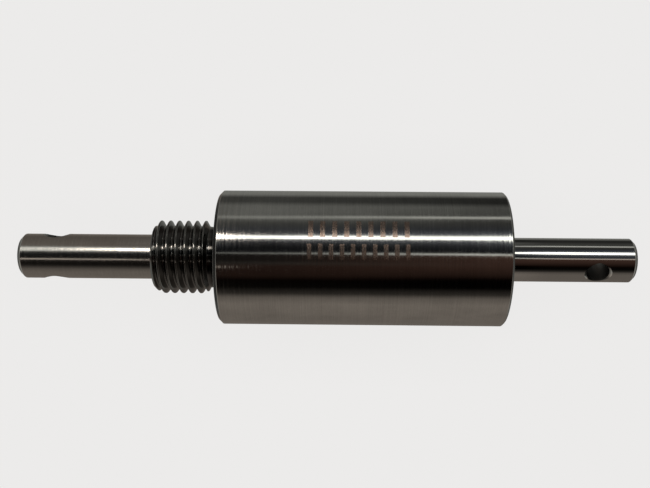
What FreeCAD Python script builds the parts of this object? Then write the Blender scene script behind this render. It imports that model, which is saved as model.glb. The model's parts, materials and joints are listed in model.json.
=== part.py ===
import FreeCAD, Part
import math
import os
import Sketcher

# Ball screw assembly. The common axis is X and the origin lies on it in the plane of the mounting shoulder.
# The threaded neck and the sliding output rod point to -X, the barrel and the turning input shaft to +X.

os.makedirs("parts", exist_ok=True)
doc = FreeCAD.newDocument("ball_screw_assembly")
V = FreeCAD.Vector
X_AXIS = V(1, 0, 0)
Y_AXIS = V(0, 1, 0)

# Every driving size, in millimetres and degrees. Names ending in _dia are diameters, names ending in _from are
# stations along the axis measured from the mounting shoulder.
SIZES = {
    "barrel_dia": 30.0, "barrel_len": 63.0, "shoulder_edge": 0.8, "rear_edge": 0.45,
    "front_wall": 3.0, "cavity_dia": 22.0, "cap_seat_dia": 24.0, "cap_seat_len": 4.5,
    "neck_len": 14.8, "neck_chamfer": 1.25, "thread_dia": 16.4, "thread_root_dia": 13.84, "thread_pitch": 2.0,
    "thread_crest": 0.3, "relief_len": 3.1, "relief_dia": 13.7, "relief_ramp": 0.7,
    "thread_lead_in": 1.7, "thread_cut_len": 14.0,
    "wiper_seat_dia": 12.0, "wiper_seat_len": 1.9, "land_dia": 10.6, "land_len": 1.0, "bush_dia": 11.4,
    "running_dia": 10.1, "wiper_len": 1.8, "wiper_inner_dia": 10.9, "wiper_lip_len": 0.7,
    "bumper_dia": 17.8, "front_bumper_len": 1.2, "front_bumper_bore": 12.0,
    "rear_bumper_from": 41.0, "rear_bumper_len": 5.0, "rear_bumper_bore": 13.6,
    "sleeve_bore": 18.0, "sleeve_len": 43.5, "slot_from": 5.5, "slot_width": 3.2,
    "dowel_dia": 1.5, "dowel_offset": 10.0, "dowel_from": 1.0, "dowel_len": 4.0,
    "bearing_len": 6.0, "bearing_a_from": 46.5, "bearing_b_from": 52.5, "bearing_pitch_dia": 16.0,
    "race_groove_dia": 3.36, "inner_land_dia": 13.6, "outer_land_dia": 18.4, "race_edge": 0.3,
    "bearing_ball_dia": 3.2, "cage_len": 4.6, "cage_gap": 0.7, "cage_inner_dia": 14.6, "cage_outer_dia": 17.4,
    "cage_pocket_dia": 3.4,
    "cap_len": 4.3, "cap_recess_dia": 17.6, "cap_recess_len": 1.6, "cap_web_len": 0.5, "cap_web_bore": 11.0,
    "seal_seat_dia": 16.0, "ring_groove_from": 2.5, "ring_groove_len": 1.2, "ring_groove_dia": 22.0,
    "ring_centre_dia": 23.0, "ring_thick_dia": 0.96, "spanner_hole_dia": 2.4, "spanner_hole_len": 1.6,
    "spanner_offset": 10.0, "cap_edge": 0.3,
    "seal_len": 2.0, "seal_wall_dia": 14.4, "seal_lip_dia": 11.3, "seal_face_len": 0.5, "seal_lip_short": 0.3,
    "spring_centre_dia": 12.4, "spring_wire_dia": 0.8, "spring_gap": 0.8,
    "screw_from": 3.0, "screw_dia": 6.0, "screw_tip_dia": 4.8, "screw_tip_len": 0.6, "screw_len": 41.0,
    "run_out_len": 1.5, "run_out_dia": 4.6, "collar_dia": 13.0, "collar_len": 2.5, "shaft_dia": 10.0,
    "shaft_end": 92.0, "shaft_chamfer": 0.8, "clip_groove_dia": 9.6, "clip_groove_len": 1.1,
    "end_shaft_dia": 9.8, "undercut_from": 62.3, "undercut_len": 0.65, "undercut_dia": 9.4,
    "ball_lead": 2.0, "ball_circle_dia": 6.2, "ball_groove_dia": 1.4, "ball_dia": 1.2,
    "screw_groove_back": 1.75, "screw_groove_len": 42.0,
    "shim_len": 0.2, "shim_dia": 12.6, "clip_len": 1.0, "clip_dia": 13.2, "clip_gap": 3.4,
    "lug_dia": 2.2, "lug_hole_dia": 1.0, "lug_offset": 6.9, "lug_angle": 24.0,
    "rod_end": 45.0, "rod_dia": 10.0, "rod_chamfer": 0.9, "grease_groove_in": 30.3, "grease_groove_len": 0.6,
    "grease_groove_dia": 9.6, "rod_len": 49.6, "spigot_dia": 9.0, "spigot_len": 4.0,
    "rod_bore_dia": 6.8, "rod_bore_len": 26.6, "drill_point_len": 2.0,
    "cross_hole_dia": 5.0, "cross_hole_mouth": 6.0, "rod_hole_in": 7.7, "rod_hole_tilt": 5.0,
    "shaft_hole_in": 8.5, "shaft_hole_tilt": 128.0,
    "carrier_dia": 17.6, "carrier_len": 18.0, "carrier_edge": 0.5, "hub_len": 4.0, "nut_dia": 14.0,
    "key_seat": 7.6, "key_in": 4.4, "key_len": 8.0, "key_width": 2.9, "key_height": 3.0, "key_edge": 0.4,
    "screw_shank_dia": 2.0, "screw_head_dia": 2.7, "screw_head_len": 0.7, "key_screw_len": 3.2,
    "key_screw_base": 7.2, "driver_slot": 0.5, "driver_depth": 0.4,
    "pin_dia": 1.5, "pin_base": 3.5, "pin_len": 5.1, "pin_in": 2.0, "lock_base": 6.2, "lock_len": 2.4,
    "lock_in": 9.0,
    "nut_bore": 6.4, "nut_len": 14.0, "nut_wiper_dia": 9.0, "nut_wiper_len": 1.0, "nut_wiper_bore": 6.2,
    "nut_groove_back": 1.35, "nut_groove_len": 16.0, "circuit_from": 2.65, "crossing_lift": 0.6,
    "return_dia": 3.6, "return_base": 3.3, "return_top": 6.7, "return_channel": 1.4, "return_roof": 4.4,
}
BEARING_BALLS = 11
CIRCUITS = 3
CIRCUIT_STEP = 600.0
HELIX_BALLS = 14
HELIX_BALL_STEP = 23.5
CROSSING_BALLS = 2

sheet = doc.addObject("Spreadsheet::Sheet", "Sizes")
for row, (name, size) in enumerate(SIZES.items(), start=1):
    sheet.set(f"A{row}", name)
    sheet.set(f"B{row}", str(size))
    sheet.setAlias(f"B{row}", name)
doc.recompute()

made = {}


def value(text):
    """Number that a sum of sheet names and plain numbers comes to."""
    total = 0.0
    sign = 1.0
    for term in text.split():
        if term in ("+", "-"):
            sign = 1.0 if term == "+" else -1.0
        else:
            total += sign * (float(term) if term[0].isdigit() else float(getattr(sheet, term)))
    return total


def bound(text):
    """The same sum written as an expression on the sheet."""
    terms = [term if term in ("+", "-") or term[0].isdigit() else "Sizes." + term for term in text.split()]
    return " ".join(terms)


def plane(body, role):
    return [feature for feature in body.Origin.OriginFeatures if feature.Role == role][0]


def new_body(label):
    body = doc.addObject("PartDesign::Body", label)
    body.Label = label
    return body


def new_sketch(body, name, role="XY_Plane", at="0", out="0", up="0", tilt="0"):
    """Sketch on an origin plane, moved by (at, out, up) and turned about X by the tilt angle."""
    sketch = body.newObject("Sketcher::SketchObject", name)
    sketch.AttachmentSupport = (plane(body, role), [""])
    sketch.MapMode = "FlatFace"
    if (at, out, up, tilt) != ("0", "0", "0", "0"):
        sketch.AttachmentOffset = FreeCAD.Placement(
            V(value(at), value(out), value(up)), FreeCAD.Rotation(X_AXIS, value(tilt)))
        for axis, text in (("x", at), ("y", out), ("z", up)):
            if text != "0":
                sketch.setExpression(f"AttachmentOffset.Base.{axis}", bound(text))
    return sketch


def hold(sketch, spot, geo, point, along, across, halved):
    """Ties one point of the sketch to the sheet."""
    for kind, text, half in (("DistanceX", along, False), ("DistanceY", across, halved)):
        size = value(text) / 2 if half else value(text)
        index = sketch.addConstraint(Sketcher.Constraint(kind, -1, 1, geo, point, size))
        if any(letter.isalpha() for letter in text):
            label = f"{kind[-1].lower()}{spot}"
            sketch.renameConstraint(index, label)
            sketch.setExpression(f".Constraints.{label}", f"({bound(text)}) / 2" if half else bound(text))


def draw(sketch, points, halved=True):
    """Closed straight-sided outline. Points are (station, diameter), or (x, y) when halved is False."""
    spots = [V(value(a), value(b) / 2 if halved else value(b), 0) for a, b in points]
    count = len(spots)
    for i in range(count):
        sketch.addGeometry(Part.LineSegment(spots[i], spots[(i + 1) % count]))
    for i in range(count):
        sketch.addConstraint(Sketcher.Constraint("Coincident", i, 2, (i + 1) % count, 1))
    for i, (along, across) in enumerate(points):
        hold(sketch, i, i, 1, along, across, halved)


def draw_circle(sketch, along, across, dia, halved=True):
    middle = V(value(along), value(across) / 2 if halved else value(across), 0)
    sketch.addGeometry(Part.Circle(middle, V(0, 0, 1), value(dia) / 2))
    hold(sketch, 0, 0, 3, along, across, halved)
    index = sketch.addConstraint(Sketcher.Constraint("Radius", 0, value(dia) / 2))
    sketch.renameConstraint(index, "radius")
    sketch.setExpression(".Constraints.radius", f"({bound(dia)}) / 2")


def turned(label, points):
    """Body turned about X from a half outline of (station, diameter) corners."""
    body = new_body(label)
    sketch = new_sketch(body, label + "_profile")
    draw(sketch, points)
    turn = body.newObject("PartDesign::Revolution", label + "_turned")
    turn.Profile = sketch
    turn.ReferenceAxis = (sketch, ["H_Axis"])
    turn.Angle = 360
    return body


def must_cut(feature):
    """The feature has to take material away."""
    doc.recompute()
    if feature.Shape.Volume >= feature.BaseFeature.Shape.Volume - 1e-4:
        raise RuntimeError(feature.Name + " removes nothing")


def cut_round(body, name, points, axis, at="0", out="0", tilt="0", circle=None):
    """Turned cut about the sketch's own H or V axis."""
    sketch = new_sketch(body, name + "_profile", at=at, out=out, tilt=tilt)
    if circle:
        draw_circle(sketch, *circle)
    else:
        draw(sketch, points, halved=False)
    groove = body.newObject("PartDesign::Groove", name)
    groove.Profile = sketch
    groove.ReferenceAxis = (sketch, [axis])
    groove.Angle = 360
    must_cut(groove)
    return groove


def cut_helix(body, name, points, pitch, length, circle=None):
    """Right-hand helical cut about X."""
    sketch = new_sketch(body, name + "_profile")
    if circle:
        draw_circle(sketch, *circle)
    else:
        draw(sketch, points)
    helix = body.newObject("PartDesign::SubtractiveHelix", name)
    helix.Profile = sketch
    helix.ReferenceAxis = (sketch, ["H_Axis"])
    helix.Mode = 0
    helix.setExpression("Pitch", bound(pitch))
    helix.setExpression("Height", bound(length))
    helix.LeftHanded = False
    must_cut(helix)


def cut_slot(body, name, points, up="0", role="XY_Plane", upwards=True):
    """Straight-sided pocket through everything on one side of its sketch."""
    sketch = new_sketch(body, name + "_profile", role=role, up=up)
    draw(sketch, points, halved=False)
    pocket = body.newObject("PartDesign::Pocket", name)
    pocket.Profile = sketch
    pocket.Type = "ThroughAll"
    pocket.Reversed = upwards
    must_cut(pocket)


def radial_hole(body, name, at, tilt, inner, outer, dia):
    """Plain hole square to the axis, between two distances from it."""
    points = [("0", inner), (dia, inner), (dia, outer), ("0", outer)]
    sketch = new_sketch(body, name + "_profile", at=at, tilt=tilt)
    spots = [V(value(a) / 2, value(b), 0) for a, b in points]
    for i in range(4):
        sketch.addGeometry(Part.LineSegment(spots[i], spots[(i + 1) % 4]))
    for i in range(4):
        sketch.addConstraint(Sketcher.Constraint("Coincident", i, 2, (i + 1) % 4, 1))
    for i, (across, along) in enumerate(points):
        index = sketch.addConstraint(Sketcher.Constraint("DistanceX", -1, 1, i, 1, value(across) / 2))
        if across != "0":
            sketch.renameConstraint(index, f"x{i}")
            sketch.setExpression(f".Constraints.x{i}", f"({bound(across)}) / 2")
        index = sketch.addConstraint(Sketcher.Constraint("DistanceY", -1, 1, i, 1, value(along)))
        sketch.renameConstraint(index, f"y{i}")
        sketch.setExpression(f".Constraints.y{i}", bound(along))
    groove = body.newObject("PartDesign::Groove", name)
    groove.Profile = sketch
    groove.ReferenceAxis = (sketch, ["V_Axis"])
    groove.Angle = 360
    must_cut(groove)


def cross_hole(body, name, at, tilt, stock_dia):
    """Through hole square to the axis with a 45 degree countersink at both mouths."""
    half = f"({bound(stock_dia)}) / 2"
    sketch = new_sketch(body, name + "_profile", at=at, tilt=tilt)
    hole = value("cross_hole_dia") / 2
    mouth = value("cross_hole_mouth") / 2
    reach = value(stock_dia) / 2
    over = 0.6
    depth = mouth - hole
    spots = [(0, -reach - over), (mouth + over, -reach - over), (hole, -reach + depth),
             (hole, reach - depth), (mouth + over, reach + over), (0, reach + over)]
    wide = "Sizes.cross_hole_mouth / 2 + 0.6"
    sunk = f"{half} - (Sizes.cross_hole_mouth - Sizes.cross_hole_dia) / 2"
    texts = [(None, f"-({half}) - 0.6"), (wide, f"-({half}) - 0.6"), ("Sizes.cross_hole_dia / 2", f"-({sunk})"),
             ("Sizes.cross_hole_dia / 2", sunk), (wide, f"{half} + 0.6"), (None, f"{half} + 0.6")]
    for i in range(6):
        sketch.addGeometry(Part.LineSegment(V(*spots[i], 0), V(*spots[(i + 1) % 6], 0)))
    for i in range(6):
        sketch.addConstraint(Sketcher.Constraint("Coincident", i, 2, (i + 1) % 6, 1))
    for i in range(6):
        for kind, size, text in (("DistanceX", spots[i][0], texts[i][0]), ("DistanceY", spots[i][1], texts[i][1])):
            index = sketch.addConstraint(Sketcher.Constraint(kind, -1, 1, i, 1, size))
            if text:
                label = f"{kind[-1].lower()}{i}"
                sketch.renameConstraint(index, label)
                sketch.setExpression(f".Constraints.{label}", text)
    groove = body.newObject("PartDesign::Groove", name)
    groove.Profile = sketch
    groove.ReferenceAxis = (sketch, ["V_Axis"])
    groove.Angle = 360
    must_cut(groove)


def place(item, along, up=None, turn=None):
    """Sets a finished piece at its station; turn is a rotation about Y."""
    if turn is not None:
        item.Placement = FreeCAD.Placement(V(0, 0, 0), FreeCAD.Rotation(Y_AXIS, turn))
    item.setExpression("Placement.Base.x", bound(along))
    if up:
        item.setExpression("Placement.Base.z", bound(up))
    made[item.Label] = item


# ---------------------------------------------------------------- housing
neck_start = "0 - neck_len"
shoulder = "neck_len"
barrel_end = "neck_len + barrel_len"

barrel = turned("barrel", [
    ("0", "wiper_seat_dia"),
    ("0", "thread_dia - neck_chamfer - neck_chamfer"),
    ("neck_chamfer", "thread_dia"),
    ("neck_len - relief_len", "thread_dia"),
    ("neck_len - relief_len + relief_ramp", "relief_dia"),
    (shoulder, "relief_dia"),
    (shoulder, "barrel_dia - shoulder_edge - shoulder_edge"),
    (shoulder + " + shoulder_edge", "barrel_dia"),
    (barrel_end + " - rear_edge", "barrel_dia"),
    (barrel_end, "barrel_dia - rear_edge - rear_edge"),
    (barrel_end, "cap_seat_dia"),
    (barrel_end + " - cap_seat_len", "cap_seat_dia"),
    (barrel_end + " - cap_seat_len", "cavity_dia"),
    (shoulder + " + front_wall", "cavity_dia"),
    (shoulder + " + front_wall", "bush_dia"),
    ("wiper_seat_len + land_len", "bush_dia"),
    ("wiper_seat_len + land_len", "land_dia"),
    ("wiper_seat_len", "land_dia"),
    ("wiper_seat_len", "wiper_seat_dia"),
])
# One 60 degree V groove, cut from outside the neck until it runs out in the relief.
groove_top = SIZES["thread_pitch"] - SIZES["thread_crest"]
slope = math.tan(math.radians(30))
over_crest = 0.2
groove_root = groove_top - (SIZES["thread_dia"] - SIZES["thread_root_dia"]) * slope
groove_wide = groove_top + 2 * over_crest * slope
groove_mid = -SIZES["thread_lead_in"]
cut_helix(barrel, "neck_thread", [
    (f"0 - {-(groove_mid - groove_wide / 2):.4f}", f"thread_dia + {2 * over_crest}"),
    (f"0 - {-(groove_mid + groove_wide / 2):.4f}", f"thread_dia + {2 * over_crest}"),
    (f"0 - {-(groove_mid + groove_root / 2):.4f}", "thread_root_dia"),
    (f"0 - {-(groove_mid - groove_root / 2):.4f}", "thread_root_dia"),
], "thread_pitch", "thread_cut_len")
cut_round(barrel, "dowel_hole", [
    (shoulder + " + dowel_from", "0"), (shoulder + " + front_wall + 0.5", "0"),
    (shoulder + " + front_wall + 0.5", "dowel_dia - 0.75"), (shoulder + " + dowel_from", "dowel_dia - 0.75"),
], "H_Axis", out="dowel_offset")
place(barrel, neck_start)

rod_bush = turned("rod_bush", [
    ("0", "running_dia"), ("0", "bush_dia"),
    ("neck_len - wiper_seat_len - land_len + front_wall", "bush_dia"),
    ("neck_len - wiper_seat_len - land_len + front_wall", "running_dia"),
])
place(rod_bush, "0 - neck_len + wiper_seat_len + land_len")

rod_wiper = turned("rod_wiper", [
    ("0", "running_dia"), ("0", "wiper_seat_dia - 0.8"), ("0.4", "wiper_seat_dia"),
    ("wiper_len", "wiper_seat_dia"), ("wiper_len", "wiper_inner_dia"), ("wiper_lip_len", "wiper_inner_dia"),
    ("wiper_lip_len - 0.3", "running_dia"),
])
place(rod_wiper, "0 - neck_len + 0.1")

front_bumper = turned("front_bumper", [
    ("0", "front_bumper_bore"), ("0", "bumper_dia"), ("front_bumper_len", "bumper_dia"),
    ("front_bumper_len", "front_bumper_bore"),
])
place(front_bumper, "front_wall")

rear_bumper = turned("rear_bumper", [
    ("0", "rear_bumper_bore"), ("0", "bumper_dia - 1"), ("0.5", "bumper_dia"),
    ("rear_bumper_len", "bumper_dia"), ("rear_bumper_len", "rear_bumper_bore"),
])
place(rear_bumper, "rear_bumper_from")

guide_sleeve = turned("guide_sleeve", [
    ("0", "sleeve_bore"), ("0", "cavity_dia"), ("sleeve_len", "cavity_dia"), ("sleeve_len", "sleeve_bore"),
])
cut_slot(guide_sleeve, "key_slot", [
    ("slot_from", "0 - 1.6"), ("sleeve_len + 1", "0 - 1.6"),
    ("sleeve_len + 1", "slot_width - 1.6"), ("slot_from", "slot_width - 1.6"),
])
cut_round(guide_sleeve, "sleeve_dowel_hole", [
    ("0 - 0.5", "0"), ("dowel_len - 2", "0"), ("dowel_len - 2", "dowel_dia - 0.75"), ("0 - 0.5", "dowel_dia - 0.75"),
], "H_Axis", out="dowel_offset")
place(guide_sleeve, "front_wall")

sleeve_dowel = turned("sleeve_dowel", [
    ("0", "0"), ("0", "dowel_dia - 0.4"), ("0.2", "dowel_dia"), ("dowel_len - 0.2", "dowel_dia"),
    ("dowel_len", "dowel_dia - 0.4"), ("dowel_len", "0"),
])
place(sleeve_dowel, "dowel_from")
sleeve_dowel.setExpression("Placement.Base.y", bound("dowel_offset"))

end_cap = turned("end_cap", [
    ("0", "cap_recess_dia"), ("0", "cap_seat_dia"),
    ("ring_groove_from", "cap_seat_dia"), ("ring_groove_from", "ring_groove_dia"),
    ("ring_groove_from + ring_groove_len", "ring_groove_dia"),
    ("ring_groove_from + ring_groove_len", "cap_seat_dia"),
    ("cap_len - cap_edge", "cap_seat_dia"), ("cap_len", "cap_seat_dia - cap_edge - cap_edge"),
    ("cap_len", "seal_seat_dia"),
    ("cap_recess_len + cap_web_len", "seal_seat_dia"), ("cap_recess_len + cap_web_len", "cap_web_bore"),
    ("cap_recess_len", "cap_web_bore"), ("cap_recess_len", "cap_recess_dia"),
])
for side, turn_by in (("top", "0"), ("bottom", "180")):
    cut_round(end_cap, "spanner_hole_" + side, [
        ("cap_len - spanner_hole_len", "0"), ("cap_len + 0.5", "0"),
        ("cap_len + 0.5", "spanner_hole_dia - 1.2"), ("cap_len - spanner_hole_len", "spanner_hole_dia - 1.2"),
    ], "H_Axis", out="spanner_offset" if turn_by == "0" else "0 - spanner_offset", tilt=turn_by)
place(end_cap, "barrel_len - cap_seat_len")

for label, centre, thick, station in (
        ("cap_o_ring", "ring_centre_dia", "ring_thick_dia",
         "barrel_len - cap_seat_len + ring_groove_from + 0.6"),
        ("seal_garter_spring", "spring_centre_dia", "spring_wire_dia",
         "barrel_len - cap_seat_len + cap_recess_len + cap_web_len + spring_gap")):
    ring = doc.addObject("Part::Torus", label)
    ring.Label = label
    ring.setExpression("Radius1", f"{bound(centre)} / 2")
    ring.setExpression("Radius2", f"{bound(thick)} / 2")
    place(ring, station, turn=90)

shaft_seal = turned("shaft_seal", [
    ("0", "seal_wall_dia"), ("0", "seal_seat_dia"), ("seal_len", "seal_seat_dia"), ("seal_len", "running_dia"),
    ("seal_lip_short", "running_dia"), ("seal_lip_short", "seal_lip_dia"),
    ("seal_len - seal_face_len", "seal_lip_dia"), ("seal_len - seal_face_len", "seal_wall_dia"),
])
place(shaft_seal, "barrel_len - cap_seat_len + cap_recess_len + cap_web_len")

# ---------------------------------------------------------------- shaft bearings
race_groove = ("bearing_len - 3", "bearing_pitch_dia", "race_groove_dia")
for side in ("a", "b"):
    station = f"bearing_{side}_from"
    outer = turned(f"bearing_{side}_outer_race", [
        ("0", "outer_land_dia"), ("0", "cavity_dia - race_edge - race_edge"), ("race_edge", "cavity_dia"),
        ("bearing_len - race_edge", "cavity_dia"), ("bearing_len", "cavity_dia - race_edge - race_edge"),
        ("bearing_len", "outer_land_dia"),
    ])
    cut_round(outer, f"outer_raceway_{side}", None, "H_Axis", circle=race_groove)
    place(outer, station)

    inner = turned(f"bearing_{side}_inner_race", [
        ("0", "shaft_dia + race_edge + race_edge"), ("0", "inner_land_dia"), ("bearing_len", "inner_land_dia"),
        ("bearing_len", "shaft_dia + race_edge + race_edge"), ("bearing_len - race_edge", "shaft_dia"),
        ("race_edge", "shaft_dia"),
    ])
    cut_round(inner, f"inner_raceway_{side}", None, "H_Axis", circle=race_groove)
    place(inner, station)

    cage = turned(f"bearing_{side}_cage", [
        ("0", "cage_inner_dia"), ("0", "cage_outer_dia"), ("cage_len", "cage_outer_dia"),
        ("cage_len", "cage_inner_dia"),
    ])
    radial_hole(cage, f"cage_pocket_{side}", "cage_len - 2.3", "0", "cage_inner_dia - 9", "cage_outer_dia - 7.5",
                "cage_pocket_dia")
    pocket = cage.Tip
    ring_of_pockets = cage.newObject("PartDesign::PolarPattern", f"cage_pockets_{side}")
    ring_of_pockets.Originals = [pocket]
    ring_of_pockets.Axis = (plane(cage, "X_Axis"), [""])
    ring_of_pockets.Angle = 360
    ring_of_pockets.Occurrences = BEARING_BALLS
    cage.Tip = ring_of_pockets
    place(cage, station + " + cage_gap")

    balls = []
    for i in range(BEARING_BALLS):
        turn_by = math.radians(360.0 * i / BEARING_BALLS)
        ball = doc.addObject("Part::Sphere", f"ball_{side}_{i}")
        ball.setExpression("Radius", "Sizes.bearing_ball_dia / 2")
        ball.setExpression("Placement.Base.x", "Sizes.bearing_len / 2")
        ball.setExpression("Placement.Base.y", f"Sizes.bearing_pitch_dia / 2 * {math.cos(turn_by):.6f}")
        ball.setExpression("Placement.Base.z", f"Sizes.bearing_pitch_dia / 2 * {math.sin(turn_by):.6f}")
        balls.append(ball)
    group = doc.addObject("Part::Compound", f"bearing_{side}_balls")
    group.Label = f"bearing_{side}_balls"
    group.Links = balls
    place(group, station)

# ---------------------------------------------------------------- turning screw
collar_at = "screw_len"
journal_at = "screw_len + collar_len"
clip_at = journal_at + " + bearing_len + bearing_len + shim_len"
shaft_tip = "shaft_end - screw_from"
undercut_at = "undercut_from - screw_from"

ball_screw = turned("ball_screw", [
    ("0", "0"), ("0", "screw_tip_dia"), ("screw_tip_len", "screw_dia"),
    (collar_at + " - run_out_len", "screw_dia"), (collar_at + " - run_out_len", "run_out_dia"),
    (collar_at, "run_out_dia"), (collar_at, "collar_dia"), (journal_at, "collar_dia"), (journal_at, "shaft_dia"),
    (clip_at, "shaft_dia"), (clip_at, "clip_groove_dia"),
    (clip_at + " + clip_groove_len", "clip_groove_dia"), (clip_at + " + clip_groove_len", "shaft_dia"),
    (undercut_at, "shaft_dia"), (undercut_at, "undercut_dia"), (undercut_at + " + undercut_len", "undercut_dia"),
    (undercut_at + " + undercut_len", "end_shaft_dia"), (shaft_tip + " - shaft_chamfer", "end_shaft_dia"),
    (shaft_tip, "end_shaft_dia - shaft_chamfer - shaft_chamfer"), (shaft_tip, "0"),
])
cut_helix(ball_screw, "ball_track", None, "ball_lead", "screw_groove_len",
          circle=("0 - screw_groove_back", "ball_circle_dia", "ball_groove_dia"))
cross_hole(ball_screw, "shaft_cross_hole", "shaft_end - screw_from - shaft_hole_in", "shaft_hole_tilt",
           "end_shaft_dia")
place(ball_screw, "screw_from")

preload_shim = turned("preload_shim", [
    ("0", "shaft_dia"), ("0", "shim_dia"), ("shim_len", "shim_dia"), ("shim_len", "shaft_dia"),
])
place(preload_shim, "bearing_b_from + bearing_len")

circlip = turned("circlip", [
    ("0", "clip_groove_dia"), ("0", "clip_dia"), ("clip_len", "clip_dia"), ("clip_len", "clip_groove_dia"),
])
for side, sign in (("left", -1), ("right", 1)):
    turn_by = math.radians(SIZES["lug_angle"] * sign)
    lug = new_sketch(circlip, f"lug_{side}_outline", role="YZ_Plane")
    middle = V(SIZES["lug_offset"] * math.sin(turn_by), SIZES["lug_offset"] * math.cos(turn_by), 0)
    lug.addGeometry(Part.Circle(middle, V(0, 0, 1), SIZES["lug_dia"] / 2))
    lug.addGeometry(Part.Circle(middle, V(0, 0, 1), SIZES["lug_hole_dia"] / 2))
    for geo, size in ((0, "lug_dia"), (1, "lug_hole_dia")):
        index = lug.addConstraint(Sketcher.Constraint("Radius", geo, value(size) / 2))
        lug.renameConstraint(index, f"radius{geo}")
        lug.setExpression(f".Constraints.radius{geo}", f"{bound(size)} / 2")
    pad = circlip.newObject("PartDesign::Pad", f"lug_{side}")
    pad.Profile = lug
    pad.setExpression("Length", bound("clip_len"))
cut_slot(circlip, "clip_opening", [
    ("0 - 1.7", "0"), ("clip_gap - 1.7", "0"), ("clip_gap - 1.7", "clip_dia"), ("0 - 1.7", "clip_dia"),
], up="0 - 0.5", role="YZ_Plane")
place(circlip, "bearing_b_from + bearing_len + shim_len")

# ---------------------------------------------------------------- sliding rod and ball nut
output_rod = turned("output_rod", [
    ("0", "0"), ("0", "rod_dia - rod_chamfer - rod_chamfer"), ("rod_chamfer", "rod_dia"),
    ("grease_groove_in", "rod_dia"), ("grease_groove_in", "grease_groove_dia"),
    ("grease_groove_in + grease_groove_len", "grease_groove_dia"),
    ("grease_groove_in + grease_groove_len", "rod_dia"),
    ("rod_len", "rod_dia"), ("rod_len", "spigot_dia"), ("rod_len + spigot_len", "spigot_dia"),
    ("rod_len + spigot_len", "rod_bore_dia"), ("rod_len + spigot_len - rod_bore_len", "rod_bore_dia"),
    ("rod_len + spigot_len - rod_bore_len - drill_point_len", "0"),
])
cross_hole(output_rod, "rod_cross_hole", "rod_hole_in", "rod_hole_tilt", "rod_dia")
radial_hole(output_rod, "rod_pin_hole", "rod_len + pin_in", "270", "rod_bore_dia - 3.8", "rod_dia - 4", "pin_dia")
place(output_rod, "0 - rod_end")

carrier_at = "rod_len - rod_end"
nut_carrier = turned("nut_carrier", [
    ("0", "spigot_dia"), ("0", "carrier_dia - carrier_edge - carrier_edge"), ("carrier_edge", "carrier_dia"),
    ("carrier_len - carrier_edge", "carrier_dia"), ("carrier_len", "carrier_dia - carrier_edge - carrier_edge"),
    ("carrier_len", "nut_dia"), ("hub_len", "nut_dia"), ("hub_len", "spigot_dia"),
])
cut_slot(nut_carrier, "key_seat_pocket", [
    ("key_in", "0 - 1.45"), ("key_in + key_len", "0 - 1.45"),
    ("key_in + key_len", "key_width - 1.45"), ("key_in", "key_width - 1.45"),
], up="key_seat")
radial_hole(nut_carrier, "key_screw_hole", "key_in + key_len - 4", "90", "nut_dia - 8", "key_seat + 1",
            "screw_shank_dia")
radial_hole(nut_carrier, "carrier_pin_hole", "pin_in", "270", "spigot_dia - 5", "carrier_dia - 8", "pin_dia")
radial_hole(nut_carrier, "lock_screw_hole", "lock_in", "180", "nut_dia - 8", "carrier_dia - 8", "screw_shank_dia")
place(nut_carrier, carrier_at)

nut_at = carrier_at + " + hub_len"
ball_nut = turned("ball_nut", [
    ("0", "nut_wiper_dia"), ("0", "nut_dia"), ("nut_len", "nut_dia"), ("nut_len", "nut_wiper_dia"),
    ("nut_len - nut_wiper_len", "nut_wiper_dia"), ("nut_len - nut_wiper_len", "nut_bore"),
    ("nut_wiper_len", "nut_bore"), ("nut_wiper_len", "nut_wiper_dia"),
])
radial_hole(ball_nut, "lock_dimple", "lock_in - hub_len", "180", "lock_base - 0.1", "nut_dia - 6", "screw_shank_dia")

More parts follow.
